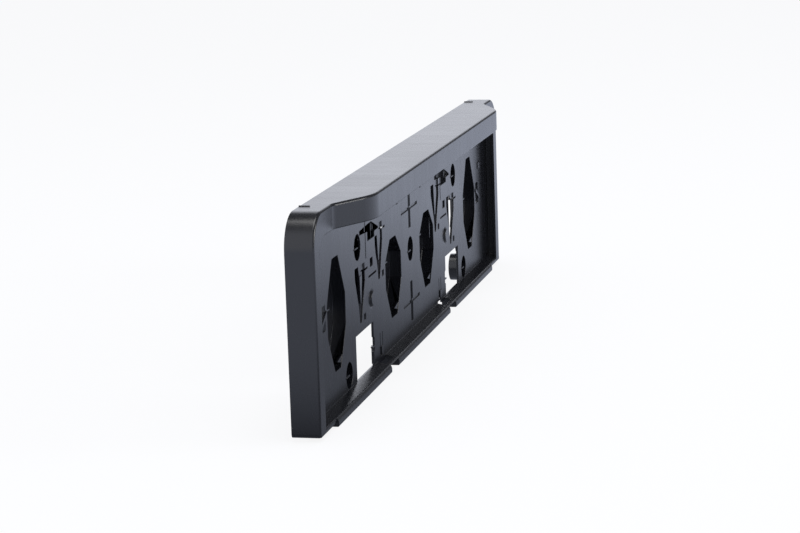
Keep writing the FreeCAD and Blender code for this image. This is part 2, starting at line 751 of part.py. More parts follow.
    def arch_places(self, side):
        """Places that an arched slot and its ribs share."""
        s = self.sheet
        centre = s.arch_place * side
        left = centre - s.arch_core / 2
        right = centre + s.arch_core / 2
        floor = s.arch_top - s.arch_drop
        tail_top = s.arch_top - s.thin
        return left, right, floor, tail_top

    def draw_arches(self, sketch):
        """Arched slots: a deep middle, a level tail at one side and a falling hook at the other."""
        s = self.sheet
        for side in (-1, 1):
            left, right, floor, tail_top = self.arch_places(side)
            crown = (left + right) / 2 + s.thin * 2
            hook_low = floor + s.thin * 3
            draw_outline(sketch, [
                Corner(left, floor),
                Corner(right, floor),
                Corner(right, hook_low),
                Corner(right + s.arch_hook, hook_low),
                Corner(right + s.arch_hook, hook_low + s.thin),
                Corner(crown, s.arch_top),
                Corner(left, s.arch_top),
                Corner(left - s.arch_tail, tail_top),
                Corner(left - s.arch_tail, tail_top - s.arch_tail_width),
                Corner(left, tail_top - s.arch_tail_width - s.thin),
            ])

    def draw_small_holes(self, sketch):
        """Upright cross slots, square holes, and thin slots of several lengths."""
        s = self.sheet
        half = s.cross_slot / 2
        for centre, length in ((s.low_cross_centre, s.low_cross_length),
                               (s.high_cross_centre, s.high_cross_length)):
            draw_rectangle(sketch, -half, half, centre - length / 2, centre + length / 2)
        for cell in self.cells():
            hook = cell.right - s.thin
            draw_rectangle(sketch, hook, hook + s.hook_slot, cell.step - s.thin, cell.step)
        for side in (-1, 1):
            square = s.square_place * side
            half = s.square_width / 2
            draw_rectangle(sketch, square - half, square + half, s.square_low, s.square_low + s.square_height)
            for across, up, length in ((square - s.thin * 2 * side, s.slit_height, s.slit_length),
                                       (s.pip_place * side, s.pip_height, s.pip_length)):
                draw_rectangle(sketch, across - length / 2, across + length / 2,
                               up - s.thin / 2, up + s.thin / 2)

    def arm_edge(self, side, run, lift):
        """A place on the slanted arm beside the outer cup, so far outwards and over its lower edge."""
        s = self.sheet
        return Corner((self.half - s.arm_inset + run) * side,
                      s.arm_height - run * s.arm_fall / s.arm_run + lift)

    def draw_catch_slots(self, sketch):
        """Slots over and under each slanted arm, and round each plate catch."""
        s = self.sheet
        for side in (-1, 1):
            near = s.arm_inset - s.arm_slot_inset
            far = near + s.arm_slot_width
            start = self.half - s.arm_slot_inset
            for lift, level in ((Size.of(0), s.arm_height - s.arm_slot_under),
                                (s.arm_width, s.arm_height + s.arm_slot_over)):
                draw_outline(sketch, [
                    Corner(start * side, level),
                    Corner((start + s.arm_slot_width) * side, level),
                    self.arm_edge(side, far, lift),
                    self.arm_edge(side, near, lift),
                ])
            centre = s.catch_place * side
            half = s.catch_width / 2
            low = s.catch_low - s.thin
            draw_outline(sketch, [
                Corner(centre - half - s.thin, low),
                Corner(centre + half + s.thin, low),
                Corner(centre + half + s.thin, s.catch_high),
                Corner(centre + half, s.catch_high),
                Corner(centre + half, s.catch_low),
                Corner(centre - half, s.catch_low),
                Corner(centre - half, s.catch_high),
                Corner(centre - half - s.thin, s.catch_high),
            ])

    def panel_cuts(self):
        """Everything that is cut through the panel."""
        self.through_panel("Windows", self.draw_windows)
        self.through_panel("Cells", self.draw_cells)
        self.through_panel("Arches", self.draw_arches)
        self.through_panel("SmallHoles", self.draw_small_holes)
        self.through_panel("CatchSlots", self.draw_catch_slots)

    def panel_marks(self):
        """Recesses and blind slots in the panel's front, its dimples, and the slope of the low tongues."""
        s = self.sheet
        marks = new_sketch(self.cuts, "MarkOutline", "XZ_Plane", self.panel_front + s.rise)
        for cell in self.cells():
            ledge = cell.tongue_right - s.thin * 3
            draw_rectangle(marks, ledge, cell.right, cell.step, cell.step + s.cell_step)
            blind = cell.tip + s.blind_place
            draw_rectangle(marks, blind, blind + s.blind_width, cell.point, cell.point + s.blind_height)
        for centre in (s.low_cross_centre, s.high_cross_centre):
            draw_rectangle(marks, -s.cross_arm / 2, s.cross_arm / 2,
                           centre - s.cross_arm_width / 2, centre + s.cross_arm_width / 2)
        pad(self.cuts, "Marks", marks, s.recess + s.rise, reverse=True)
        dimples = new_sketch(self.cuts, "DimpleOutline", "XZ_Plane", self.panel_front - s.dimple_depth)
        for across in mirrored_places(s.dimple_place):
            draw_circle(dimples, across, s.dimple_height, s.dimple_floor)
        spread = (s.dimple_width - s.dimple_floor) / 2 / s.dimple_depth
        dimple = pad(self.cuts, "Dimples", dimples, s.dimple_depth + BITE)
        dimple.TaperAngle = math.degrees(math.atan(spread.value))
        dimple.setExpression("TaperAngle", f"atan({spread.formula})")
        slopes = new_sketch(self.cuts, "TongueSlopePlan", "XY_Plane",
                            s.low_cell_point + s.cell_height - s.tongue_set)
        for cell in (self.cells()[0], self.cells()[-1]):
            beyond = cell.tongue_right + s.thin
            draw_outline(slopes, [
                Corner(cell.tongue_left, -self.panel_front),
                Corner(cell.tongue_left, -(self.panel_front + BITE)),
                Corner(beyond, -(self.panel_front + BITE)),
                Corner(beyond, -(self.panel_front - s.tongue_slope)),
            ])
        pad(self.cuts, "TongueSlopes", slopes, s.tongue_drop - s.tongue_set, reverse=True)

    def raised_forms(self):
        """Blocks round the arched slots, slanted arms, small tabs and the catches' noses."""
        s = self.sheet
        raised = new_sketch(self.body, "RaisedOutline", "XZ_Plane", self.panel_front - BITE)
        for side in (-1, 1):
            draw_rectangle(raised, s.block_near * side, (s.block_near + s.block_width) * side,
                           s.block_low, s.block_high)
            draw_outline(raised, [
                self.arm_edge(side, Size.of(0), Size.of(0)),
                self.arm_edge(side, s.arm_run, Size.of(0)),
                self.arm_edge(side, s.arm_run, s.arm_width),
                self.arm_edge(side, Size.of(0), s.arm_width),
            ])
            for across, width, low, height in (
                (self.half - s.tab_inset, s.tab_width, s.tab_low, s.tab_height),
                (s.catch_place, s.catch_width, s.catch_low, s.catch_nose),
            ):
                near = (across - width / 2) * side
                draw_rectangle(raised, near, (across + width / 2) * side, low, low + height)
        pad(self.body, "Raised", raised, s.rise + BITE)

    def draw_cell_ribs(self, sketch):
        """Behind each cell a rib under its tongue and one along its right slot."""
        s = self.sheet
        inset = s.thin / 2
        for cell in self.cells():
            draw_outline(sketch, [
                Corner(cell.tongue_left + inset, cell.step - s.thin),
                Corner(cell.tip - inset, cell.tongue_end + s.cell_stem),
                Corner(cell.tongue_right - inset, cell.step - s.tongue_set),
                Corner(cell.tongue_right - inset, cell.step - s.thin),
            ])
            upright = cell.right + s.rib_gap
            bend = cell.step - s.tongue_set - s.thin
            rib_top = cell.step - s.thin - s.rib_gap
            low_x = cell.tip + s.cell_stem + s.thin * 2 + s.rib_gap
            draw_outline(sketch, [
                Corner(low_x, cell.knee),
                Corner(low_x + s.rib, cell.knee),
                Corner(upright + s.rib, bend),
                Corner(upright + s.rib, rib_top),
                Corner(upright, rib_top),
                Corner(upright, bend),
            ])

    def ribs(self):
        """Ribs on the panel's back: over and beside the cups, behind the cells and the arched slots."""
        s = self.sheet
        ribs = new_sketch(self.body, "RibOutline", "XZ_Plane", s.stand_off + BITE)
        ceiling = self.top - s.wall / 2
        for side in (-1, 1):
            for kind in ("outer", "inner"):
                place = self.cup_place(kind) * side
                cup_top = getattr(s, f"{kind}_cup_high") + s.cup_wall / 2
                draw_rectangle(ribs, place - s.rib / 2, place + s.rib / 2, cup_top, ceiling)
            cup_side = (self.cup_place("outer") + s.outer_cup_width / 2 + s.cup_wall / 2) * side
            level = s.outer_cup_side_low + s.rib
            end_wall = (self.half - s.wall / 2) * side
            draw_rectangle(ribs, cup_side, end_wall, level - s.rib / 2, level + s.rib / 2)
            left, right, floor, tail_top = self.arch_places(side)
            draw_rectangle(ribs, right, right + s.rib, floor - s.cell_stem, s.arch_top + s.rib_gap)
            shelf = tail_top - s.arch_tail_width - s.thin - s.rib_gap
            draw_rectangle(ribs, left - s.arch_tail, left - s.rib_gap, shelf - s.rib, shelf)
        pad(self.body, "Ribs", ribs, s.rib_height + BITE, reverse=True)
        cell_ribs = new_sketch(self.body, "CellRibOutline", "XZ_Plane", s.stand_off + BITE)
        self.draw_cell_ribs(cell_ribs)
        pad(self.body, "CellRibs", cell_ribs, s.rib_height + BITE, reverse=True)

    def fins(self):
        """Low fins at the back of the top wall."""
        s = self.sheet
        fins = new_sketch(self.body, "FinPlan", "XY_Plane", self.top - BITE)
        for across in mirrored_places(self.half - s.fin_inset):
            draw_rectangle(fins, across - s.thin / 2, across + s.thin / 2, -s.fin_length, Size.of(0))
        pad(self.body, "Fins", fins, s.fin_height + BITE)

    def settle(self):
        """Put the middle of the holder's footprint on the origin."""
        middle = (self.depth + self.sheet.hood_reach) / 2
        for body in (self.body, self.cuts):
            body.Placement = Placement(Vector(0, middle.value, 0), Rotation())
            body.setExpression("Placement.Base.y", middle.formula)

    def build(self):
        """The finished holder: the tray without what is cut out of its panel."""
        self.tray()
        self.round_front()
        self.hollows()
        self.foot()
        self.cups()
        self.ribs()
        self.fins()
        self.raised_forms()
        self.panel_cuts()
        self.panel_marks()
        self.settle()
        holder = self.document.addObject("Part::Cut", NODE)
        holder.Label = NODE
        holder.Base = self.body
        holder.Tool = self.cuts
        self.document.recompute()
        return holder


def check_document(document, holder):
    """Stop unless every object is sound and the holder is one valid solid."""
    for item in document.Objects:
        if "Invalid" in item.State or "Error" in item.State:
            raise RuntimeError(f"{item.Name} failed: {item.State}")
    shape = holder.Shape
    if shape.isNull() or not shape.isValid() or len(shape.Solids) != 1:
        raise RuntimeError(f"{holder.Label} is not one valid solid: {len(shape.Solids)}")


def main():
    document = FreeCAD.newDocument("NumberPlateHolder")
    holder = HolderBuilder(document).build()
    check_document(document, holder)
    os.makedirs("parts", exist_ok=True)
    holder.Shape.exportStep(f"parts/{holder.Label}.step")
    box = holder.Shape.optimalBoundingBox()
    print(f"{holder.Label}: {box.XLength:.2f} x {box.YLength:.2f} x {box.ZLength:.2f} mm, "
          f"{holder.Shape.Volume / 1000:.1f} cubic cm, {len(holder.Shape.Faces)} faces")


main()
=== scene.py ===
"""A number plate holder in satin black moulded plastic, standing on a pale studio floor."""

import logging
import math
from dataclasses import dataclass, field
from enum import Enum

import bmesh
import bpy
import numpy as np
from mathutils import Matrix, Vector


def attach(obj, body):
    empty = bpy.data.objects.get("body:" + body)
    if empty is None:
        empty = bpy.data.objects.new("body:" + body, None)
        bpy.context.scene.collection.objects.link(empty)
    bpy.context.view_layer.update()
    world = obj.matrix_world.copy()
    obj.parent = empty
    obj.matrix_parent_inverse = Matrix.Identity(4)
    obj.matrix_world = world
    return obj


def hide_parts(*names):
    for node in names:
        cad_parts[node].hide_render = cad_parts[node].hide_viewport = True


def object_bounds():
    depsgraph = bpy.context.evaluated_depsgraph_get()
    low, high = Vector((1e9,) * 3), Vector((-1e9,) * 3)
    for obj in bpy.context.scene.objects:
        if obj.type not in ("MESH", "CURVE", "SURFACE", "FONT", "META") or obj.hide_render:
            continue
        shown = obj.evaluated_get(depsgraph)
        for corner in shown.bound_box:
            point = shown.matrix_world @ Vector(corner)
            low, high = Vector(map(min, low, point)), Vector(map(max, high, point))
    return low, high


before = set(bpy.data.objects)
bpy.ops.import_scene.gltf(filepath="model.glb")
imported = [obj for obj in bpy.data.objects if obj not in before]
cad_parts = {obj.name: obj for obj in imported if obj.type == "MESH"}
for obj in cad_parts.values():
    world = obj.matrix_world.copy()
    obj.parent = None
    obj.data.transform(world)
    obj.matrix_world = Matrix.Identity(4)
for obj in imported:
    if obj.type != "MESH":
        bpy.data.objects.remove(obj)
cad_box = [list(corner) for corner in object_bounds()]

log = logging.getLogger("plate_holder")

# A millimetre in metres
MM = 0.001
# Points that lie closer together than this, in metres, are one
SAME_POINT = 1e-6
WHITE = (1.0, 1.0, 1.0, 1.0)
# The Mix node's sockets when it mixes colours: its factor, its two colours and its result
MIX_FACTOR, MIX_FIRST, MIX_SECOND, MIX_RESULT = 0, 6, 7, 2


class Coordinates(Enum):
    """The texture space that a pattern is laid in."""

    OBJECT = "Object"
    DIRECTION = "Generated"


def linear(code: str) -> tuple[float, float, float, float]:
    """Turn a six-digit sRGB colour code into linear values.

    Args:
        code: The colour as RRGGBB, without a hash sign.

    Returns:
        Red, green, blue and an alpha of one.
    """
    channels = [int(code[start:start + 2], 16) / 255 for start in (0, 2, 4)]
    values = [c / 12.92 if c <= 0.04045 else ((c + 0.055) / 1.055) ** 2.4 for c in channels]
    return (*values, 1.0)


def add_node(tree: bpy.types.NodeTree, kind: str, inputs: dict | None = None,
             **settings) -> bpy.types.Node:
    """Add a node and set its properties and its inputs.

    Args:
        tree: The node tree that takes the node.
        kind: The node's type name, without the ShaderNode in front.
        inputs: Values or output sockets by input name or index.
        **settings: Properties of the node itself.

    Returns:
        The new node.
    """
    node = tree.nodes.new(f"ShaderNode{kind}")
    for name, value in settings.items():
        setattr(node, name, value)
    for key, value in (inputs or {}).items():
        if isinstance(value, bpy.types.NodeSocket):
            tree.links.new(value, node.inputs[key])
        else:
            node.inputs[key].default_value = value
    return node


def new_material(name: str) -> tuple[bpy.types.Material, bpy.types.NodeTree]:
    """Make an empty node material.

    Args:
        name: The material's name.

    Returns:
        The material and its node tree.
    """
    material = bpy.data.materials.new(name)
    material.use_nodes = True
    material.node_tree.nodes.clear()
    return material, material.node_tree


@dataclass(frozen=True)
class SatinPlastic:
    """Injection-moulded ABS, dyed black through: a polished tool leaves it satin.

    Seen along the surface it mirrors the room; seen straight on it is nearly black. Its gloss is
    uneven in broad clouds and in upright bands, as the melt's flow leaves it. Its spark grain is
    too fine to show, so it is drawn coarser.
    """

    name: str = "satin_black_plastic"
    colour: str = "0E0F13"
    worn_colour: str = "131419"
    roughness: float = 0.27
    roughness_spread: float = 0.02
    grain_mm: float = 0.5
    grain_detail: float = 1.0
    grain_depth_mm: float = 0.001
    cloud_mm: float = 38.0
    cloud_detail: float = 3.0
    cloud_depth_mm: float = 0.03
    flow_mm: float = 9.0
    flow_detail: float = 2.0
    # Between these sums of cloud and band the gloss goes from its least roughness to its most
    uneven_low: float = 0.7
    uneven_high: float = 1.3
    refraction: float = 1.57

    def build(self) -> bpy.types.Material:
        """Make the material: even colour, cloudy gloss and a fine grain.

        Returns:
            The material.
        """
        material, tree = new_material(self.name)
        place = add_node(tree, "TexCoord").outputs[Coordinates.OBJECT.value]
        cloud = add_node(tree, "TexNoise", {
            "Vector": place, "Scale": 1 / (self.cloud_mm * MM), "Detail": self.cloud_detail})
        across = add_node(tree, "VectorMath", {0: place, 1: (1.0, 0.0, 0.0)}, operation="MULTIPLY")
        flow = add_node(tree, "TexNoise", {
            "Vector": across.outputs["Vector"], "Scale": 1 / (self.flow_mm * MM),
            "Detail": self.flow_detail})
        uneven = add_node(tree, "Math", {0: cloud.outputs["Fac"], 1: flow.outputs["Fac"]},
                          operation="ADD")
        grain = add_node(tree, "TexNoise", {
            "Vector": place, "Scale": 1 / (self.grain_mm * MM), "Detail": self.grain_detail})
        tint = add_node(tree, "Mix", {
            MIX_FACTOR: cloud.outputs["Fac"], MIX_FIRST: linear(self.colour),
            MIX_SECOND: linear(self.worn_colour)}, data_type="RGBA")
        gloss = add_node(tree, "MapRange", {
            "Value": uneven.outputs[0],
            "From Min": self.uneven_low, "From Max": self.uneven_high,
            "To Min": self.roughness - self.roughness_spread,
            "To Max": self.roughness + self.roughness_spread})
        fine = add_node(tree, "Bump", {
            "Height": grain.outputs["Fac"], "Strength": 1.0,
            "Distance": self.grain_depth_mm * MM})
        broad = add_node(tree, "Bump", {
            "Height": cloud.outputs["Fac"], "Strength": 1.0,
            "Distance": self.cloud_depth_mm * MM, "Normal": fine.outputs["Normal"]})
        surface = add_node(tree, "BsdfPrincipled", {
            "Base Color": tint.outputs[MIX_RESULT], "Roughness": gloss.outputs["Result"],
            "Normal": broad.outputs["Normal"], "IOR": self.refraction})
        add_node(tree, "OutputMaterial", {"Surface": surface.outputs["BSDF"]})
        return material


@dataclass(frozen=True)
class PaleSweep:
    """The white painted floor, which shows white to the camera and keeps a faint shadow.

    Mirrored in the plastic it carries painted shade: it is dim close to the holder, where the
    holder would shade it, and white further along. It carries painted light past the holder's near
    end and in front of it. That painted light starts at end_mm and at front_mm from the middle and
    is full at full_ratio times as far.
    """

    name: str = "pale_floor"
    colour: str = "EEF1FA"
    mirrored_colour: str = "E2EAFF"
    seen_white: float = 0.87
    near_painted_shade: float = 0.26
    far_glow: float = 1.0
    near_mm: float = 0.0
    far_mm: float = 560.0
    outside_painted_light: float = 0.74
    end_mm: float = 280.0
    front_mm: float = 260.0
    full_ratio: float = 1.5

    def build(self) -> bpy.types.Material:
        """Make the floor's material, lifted towards white for camera rays, with painted shade and
        painted light in mirror rays.

        Returns:
            The material.
        """
        material, tree = new_material(self.name)
        path = add_node(tree, "LightPath")
        paint = add_node(tree, "BsdfDiffuse", {"Color": linear(self.colour)})
        white = add_node(tree, "Emission", {"Color": WHITE, "Strength": 1.0})
        place = add_node(tree, "TexCoord").outputs[Coordinates.OBJECT.value]
        axes = add_node(tree, "SeparateXYZ", {0: place})
        # Painted shade in mirror rays: the floor's glow is low near the holder and rises along X
        painted_shade_ramp = add_node(tree, "MapRange", {
            "Value": axes.outputs["X"],
            "From Min": self.near_mm * MM, "From Max": self.far_mm * MM,
            "To Min": self.near_painted_shade, "To Max": self.far_glow})
        # Painted light in mirror rays: the floor is lifted past the holder's near end and in front
        # of it
        end, front = (
            add_node(tree, "MapRange", {
                "Value": axes.outputs[axis],
                "From Min": -start * MM, "From Max": -start * self.full_ratio * MM,
                "To Min": 0.0, "To Max": self.outside_painted_light})
            for axis, start in (("X", self.end_mm), ("Y", self.front_mm)))
        painted_light = add_node(tree, "Math", {0: end.outputs["Result"], 1: front.outputs["Result"]},
                           operation="MAXIMUM")
        total = add_node(tree, "Math", {0: painted_shade_ramp.outputs["Result"], 1: painted_light.outputs[0]},
                         operation="ADD")
        level = add_node(tree, "Math", {0: total.outputs[0], 1: 1.0}, operation="MINIMUM")
        mirrored = add_node(tree, "Emission", {
            "Color": linear(self.mirrored_colour), "Strength": level.outputs[0]})
        seen = add_node(tree, "Math", {0: path.outputs["Is Camera Ray"], 1: self.seen_white},
                        operation="MULTIPLY")
        blend = add_node(tree, "MixShader", {
            0: seen.outputs[0], 1: paint.outputs[0], 2: white.outputs[0]})
        result = add_node(tree, "MixShader", {
            0: path.outputs["Is Glossy Ray"], 1: blend.outputs[0], 2: mirrored.outputs[0]})
        add_node(tree, "OutputMaterial", {"Surface": result.outputs[0]})
        return material


@dataclass(frozen=True)
class Slab:
    """A level block between two corners, in millimetres."""

    low: tuple[float, float, float]
    high: tuple[float, float, float]

    def holds(self, x: float, y: float, z: float) -> bool:
        """Tell whether a point, in millimetres, lies inside the block."""
        return all(low < value < high for low, value, high in zip(self.low, (x, y, z), self.high))


def slab_mesh(name: str, slabs: list[Slab] | tuple[Slab, ...]) -> bpy.types.Mesh:
    """Make one mesh of several level blocks.

    A block's eight corners are its low corner plus every product of zeros and ones with its three
    sides, and its six faces join four of them each, turned outwards.

    Args:
        name: The mesh's name.
        slabs: The blocks.

    Returns:
        The mesh, in metres.
    """
    steps = np.array([(x, y, z) for z in (0, 1) for y in (0, 1) for x in (0, 1)], float)
    sides = np.array([(0, 2, 3, 1), (4, 5, 7, 6), (0, 1, 5, 4),
                      (2, 6, 7, 3), (0, 4, 6, 2), (1, 3, 7, 5)])
    lows = np.array([slab.low for slab in slabs])
    highs = np.array([slab.high for slab in slabs])
    corners = lows[:, None, :] + steps[None] * (highs - lows)[:, None, :]
    faces = sides[None] + len(steps) * np.arange(len(slabs))[:, None, None]
    mesh = bpy.data.meshes.new(name)
    mesh.from_pydata((corners.reshape(-1, 3) * MM).tolist(), [], faces.reshape(-1, 4).tolist())
    return mesh


@dataclass(frozen=True)
class Cell:
    """A spring cell of the panel: where its point, its right edge and its top lie, in mm."""

    tip: float
    right: float
    point: float
    top: float


CELLS = (
    Cell(-136.25, -123.45, 39.0, 73.0),
    Cell(-87.25, -76.45, 56.0, 83.5),
    Cell(77.75, 90.55, 56.0, 88.5),
    Cell(126.75, 139.55, 39.0, 73.0),
)


@dataclass(frozen=True)
class Shift:
    """A change of depth for the points inside a block, in millimetres.

    The new depth is the depth at the start, plus the slope times the distance across from there.
    """

    block: Slab
    depth: float
    start: float = 0.0
    slope: float = 0.0
    both_sides: bool = False

    def takes(self, x: float, y: float, z: float) -> bool:
        """Tell whether a point lies in the block, or in its mirror image where it has one."""
        return self.block.holds(abs(x) if self.both_sides else x, y, z)

    def depth_at(self, x: float) -> float:
        """Work out the new depth of a point from its place across."""
        return self.depth + (x - self.start) * self.slope


@dataclass
class Moulding:
    """The holder itself: the moulded tray with its hood, cups, cells and catches.

    The solid's own surface is taken over, its triangles are joined into faces, and every sharp edge
    gets the small radius that a moulding tool leaves. The lips have a larger one, and an edge that
    meets a very short one has a smaller one. The hood's upper edge has its own in the solid. In the
    last cell only an arm is left of the tongue, and the room at the right notch is cut open
    further, so that one looks through both.
    """

    node: str = "plate_holder"
    finish: SatinPlastic = field(default_factory=SatinPlastic)
    lip_radius_mm: float = 0.704
    edge_radius_mm: float = 0.286
    least_radius_mm: float = 0.0572
    radius_steps: int = 3
    short_share: float = 0.5
    lip_front_mm: float = -0.3
    smooth_degrees: float = 32.0
    flat_degrees: float = 0.2
    # The last tongue's narrow upper part, its broad lower part, and the room at the right notch
    cuts: tuple[Slab, ...] = (
        Slab((123.45, 5.0, 68.8), (129.65, 14.0, 72.9)),
        Slab((123.35, 4.9, 50.2), (132.65, 14.1, 68.9)),
        Slab((79.0, 3.0, -1.0), (92.5, 17.0, 7.2)),
    )
    # The blocks at the arched slots are lowered, the first tongue is lifted, the dimples' floors
    # become the fronts of round bosses, and the last cell's rib is cut down
    shifts: tuple[Shift, ...] = (
        Shift(Slab((95.0, 6.44, 74.0), (120.5, 6.46, 130.0)), 7.03, both_sides=True),
        Shift(Slab((-139.75, 7.3, 50.0), (-129.45, 8.7, 67.2)), 6.65, start=-139.25, slope=0.068),
        Shift(Slab((101.0, 8.34, 41.0), (116.0, 8.36, 55.0)), 6.1, both_sides=True),
        Shift(Slab((129.75, 12.24, 39.0), (142.05, 12.26, 73.0)), 9.4),
    )

    def solid_mesh(self) -> bpy.types.Mesh:
        """Copy the solid's surface, merge its doubled points and cut the cuts out of it.

        Returns:
            The closed mesh.
        """
        shape = bmesh.new()
        shape.from_mesh(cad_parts[self.node].data)
        bmesh.ops.remove_doubles(shape, verts=shape.verts, dist=SAME_POINT)
        mesh = bpy.data.meshes.new("solid")
        shape.to_mesh(mesh)
        shape.free()
        body = bpy.data.objects.new("solid", mesh)
        knife = bpy.data.objects.new("knife", slab_mesh("knife", self.cuts))
        for thing in (body, knife):
            bpy.context.scene.collection.objects.link(thing)
        cutting = body.modifiers.new("cut", "BOOLEAN")
        cutting.operation = "DIFFERENCE"
        cutting.solver = "EXACT"
        cutting.use_self = True
        cutting.object = knife
        graph = bpy.context.evaluated_depsgraph_get()
        result = bpy.data.meshes.new_from_object(body.evaluated_get(graph))
        for thing in (body, knife):
            bpy.data.objects.remove(thing)
        return result

    def settle_details(self, shape: bmesh.types.BMesh) -> None:
        """Move the points of small details along Y, as the shifts say.

        Args:
            shape: The moulding's mesh.
        """
        for vertex in shape.verts:
            x, y, z = vertex.co / MM
            for shift in self.shifts:
                if shift.takes(x, y, z):
                    vertex.co.y = shift.depth_at(x) * MM

    def merged_mesh(self) -> bpy.types.Mesh:
        """Join the surface's triangles into flat faces and weigh its sharp edges for the rounding.

        Returns:
            The joined mesh.
        """
        shape = bmesh.new()
        shape.from_mesh(self.solid_mesh())
        self.settle_details(shape)
        bmesh.ops.remove_doubles(shape, verts=shape.verts, dist=SAME_POINT)
        bmesh.ops.dissolve_limit(shape, angle_limit=math.radians(self.flat_degrees),
                                 verts=shape.verts, edges=shape.edges)
        weights = shape.edges.layers.float.new("bevel_weight_edge")
        sharp = math.radians(self.smooth_degrees)
        edges = [edge for edge in shape.edges
                 if len(edge.link_faces) == 2 and edge.calc_face_angle() > sharp]
        shortest: dict[bmesh.types.BMVert, float] = {}
        for edge in edges:
            for vertex in edge.verts:
                shortest[vertex] = min(shortest.get(vertex, math.inf), edge.calc_length())
        for edge in edges:
            room = min(shortest[vertex] for vertex in edge.verts) * self.short_share / MM
            on_lip = all(vertex.co.y < self.lip_front_mm * MM for vertex in edge.verts)
            wanted = self.lip_radius_mm if on_lip else self.edge_radius_mm
            edge[weights] = min(wanted, max(room, self.least_radius_mm)) / self.lip_radius_mm
        mesh = bpy.data.meshes.new("moulding")
        shape.to_mesh(mesh)
        shape.free()
        return mesh

    def build(self) -> bpy.types.Object:
        """Build the dressed moulding and let it stand for the solid.

        Returns:
            The piece.
        """
        piece = bpy.data.objects.new("moulded_holder", self.merged_mesh())
        bpy.context.scene.collection.objects.link(piece)
        piece.data.shade_smooth()
        rounding = piece.modifiers.new("edge_radius", "BEVEL")
        rounding.width = self.lip_radius_mm * MM
        rounding.segments = self.radius_steps
        rounding.limit_method = "WEIGHT"
        rounding.use_clamp_overlap = False
        shading = piece.modifiers.new("flat_faces", "WEIGHTED_NORMAL")
        shading.mode = "FACE_AREA"
        piece.data.materials.clear()
        piece.data.materials.append(self.finish.build())
        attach(piece, "root")
        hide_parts(self.node)
        return piece


@dataclass(frozen=True)
class Wall:
    """An upright wall, in mm: its left side across, its two heights and how far back it reaches."""

    left: float
    low: float
    high: float
    reach: float


@dataclass
class BackWalls:
    """Upright walls behind the panel, beside its slots and holes, which close the view through.

    Each of the first three cells has a wall past its right edge and one to the left of its tip,
    from a little under its point up to its own rise over its top.
    """

    thickness_mm: float = 1.1
    start_mm: float = 8.5
    edge_mm: float = 0.15
    cell_reach_mm: float = 16.25
    cell_drop_mm: float = 2.0
    cell_rises_mm: tuple[float, float, float] = (0.8, 10.0, 5.5)
    right_gap_mm: float = 1.1
    left_gap_mm: float = 13.5
    # Behind the last cell's arm
    arm_wall: Wall = Wall(127.5, 43.0, 76.0, 10.75)
    # On both sides, as the middle of an opening there and a wall from that middle: right and left
    # of the arched slot, right of the square and right of the slit
    side_walls: tuple[tuple[float, Wall], ...] = (
        (106.0, Wall(9.1, 77.0, 96.0, 16.25)),
        (106.0, Wall(-10.4, 77.0, 96.0, 16.25)),
        (106.3, Wall(5.0, 63.5, 74.0, 12.25)),
        (104.3, Wall(10.6, 54.0, 65.0, 16.25)),
    )
    # At the left notch, then at the lower and the upper cross
    lone_walls: tuple[Wall, ...] = (
        Wall(-77.5, 0.4, 12.0, 16.25),
        Wall(4.0, 9.5, 37.5, 12.25),
        Wall(4.0, 70.5, 97.5, 12.25),
    )

    def walls(self) -> list[Wall]:
        """Work out the cells' walls, and place the others after them.

        Returns:
            All walls.
        """
        walls = []
        for cell, rise in zip(CELLS[:-1], self.cell_rises_mm):
            low, high = cell.point - self.cell_drop_mm, cell.top + rise
            walls.append(Wall(cell.right + self.right_gap_mm, low, high, self.cell_reach_mm))
            walls.append(Wall(cell.tip - self.left_gap_mm, low, high, self.cell_reach_mm))
        walls.append(self.arm_wall)
        for side in (-1, 1):
            for middle, wall in self.side_walls:
                walls.append(Wall(middle * side + wall.left, wall.low, wall.high, wall.reach))
        walls.extend(self.lone_walls)
        return walls

    def build(self, material: bpy.types.Material) -> bpy.types.Object:
        """Build the walls as one piece of the moulding.

        Args:
            material: The moulding's plastic.

        Returns:
            The piece.
        """
        slabs = [Slab((wall.left, self.start_mm, wall.low),
                      (wall.left + self.thickness_mm, wall.reach, wall.high))
                 for wall in self.walls()]
        piece = bpy.data.objects.new("back_walls", slab_mesh("back_walls", slabs))
        bpy.context.scene.collection.objects.link(piece)
        rounding = piece.modifiers.new("edge_radius", "BEVEL")
        rounding.width = self.edge_mm * MM
        rounding.segments = 1
        piece.data.materials.append(material)
        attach(piece, "root")
        return piece


